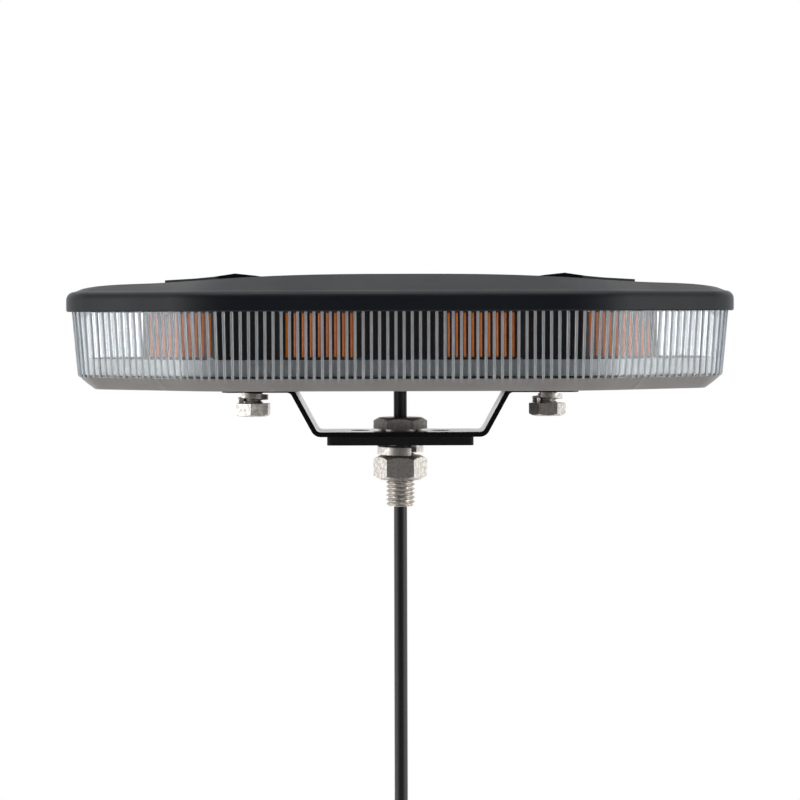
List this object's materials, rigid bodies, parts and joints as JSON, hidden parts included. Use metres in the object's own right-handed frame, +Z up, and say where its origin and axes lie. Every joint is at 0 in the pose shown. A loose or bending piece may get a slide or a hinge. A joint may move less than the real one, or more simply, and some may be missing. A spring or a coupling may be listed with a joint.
{
  "type": "warning beacon",
  "caption": "Low amber LED warning beacon with a fluted clear lens, black cover, strap bracket and a hollow threaded bolt that the supply cable runs through.",
  "frame": {"origin": "on the mounting bolt's axis, on the underside of the rubber pad, which sits on the vehicle's panel", "axes": "+X along the lamp's length, +Z up out of the panel, the camera side is -Y"},
  "size_m": [0.266, 0.144, 0.3533],
  "materials": {
    "black_asa": "fine textured",
    "seal_rubber": "matte",
    "clear_polycarbonate": "clear gloss",
    "cast_aluminium": "as cast",
    "zinc_plated_steel": "bright",
    "black_anodised": "satin",
    "stainless_steel": "satin",
    "circuit_board": "solder mask",
    "white_board": "solder mask",
    "amber_led": "clear epoxy over phosphor",
    "optic_acrylic": "clear gloss",
    "black_moulding": "fine textured",
    "capacitor_sleeve": "gloss",
    "ferrite": "matte",
    "white_nylon": "natural",
    "powder_coat_black": "gloss",
    "cable_pvc": "semi matte",
    "core_insulation": "gloss"
  },
  "bodies": {
    "mount_bolt": {"hollow_bolt": "stainless_steel", "cable": "cable_pvc", "cable_coil": "cable_pvc", "cable_end": "cable_pvc", "coil_ties": "black_moulding", "core_wires": "core_insulation"},
    "lamp": {"top_cover": "black_asa", "cover_gasket": "seal_rubber", "lens_bowl": "clear_polycarbonate", "base_tray": "cast_aluminium", "threaded_inserts": "zinc_plated_steel", "case_screws": "stainless_steel", "led_core": "black_anodised", "core_screws": "zinc_plated_steel", "led_boards": "white_board", "led_emitters": "amber_led", "led_optics": "optic_acrylic", "led_bezels": "black_moulding", "bezel_screws": "zinc_plated_steel", "driver_board": "circuit_board", "board_standoffs": "zinc_plated_steel", "board_screws": "zinc_plated_steel", "driver_capacitors": "capacitor_sleeve", "driver_inductors": "ferrite", "driver_chips": "ferrite", "power_connector": "white_nylon", "supply_tail": "cable_pvc", "cable_clamp": "black_moulding", "clamp_screws": "zinc_plated_steel", "cable_grommet": "seal_rubber", "mounting_bracket": "powder_coat_black", "bracket_bolts": "stainless_steel", "bracket_lock_washers": "stainless_steel", "mount_pad": "seal_rubber"},
    "lock_washer": {"mount_lock_washer": "stainless_steel"},
    "mount_nut": {"mount_nut": "stainless_steel"}
  },
  "joints": [
    {"name": "lamp_swivel", "type": "hinge", "parent": "mount_bolt", "child": "lamp", "pos_m": [0, 0, 0], "axis": [0, 0, 1], "range_deg": [-180, 180]},
    {"name": "lock_washer_slide", "type": "slide", "parent": "mount_bolt", "child": "lock_washer", "axis": [0, 0, -1], "range_m": [0, 0.0101]},
    {"name": "nut_spin", "type": "hinge", "parent": "lock_washer", "child": "mount_nut", "pos_m": [0, 0, 0], "axis": [0, 0, -1], "range_deg": [0, 2057.1]}
  ],
  "couplings": [
    {"joint": "lock_washer_slide", "follows": "nut_spin", "m_per_rad": 0.00027852}
  ]
}
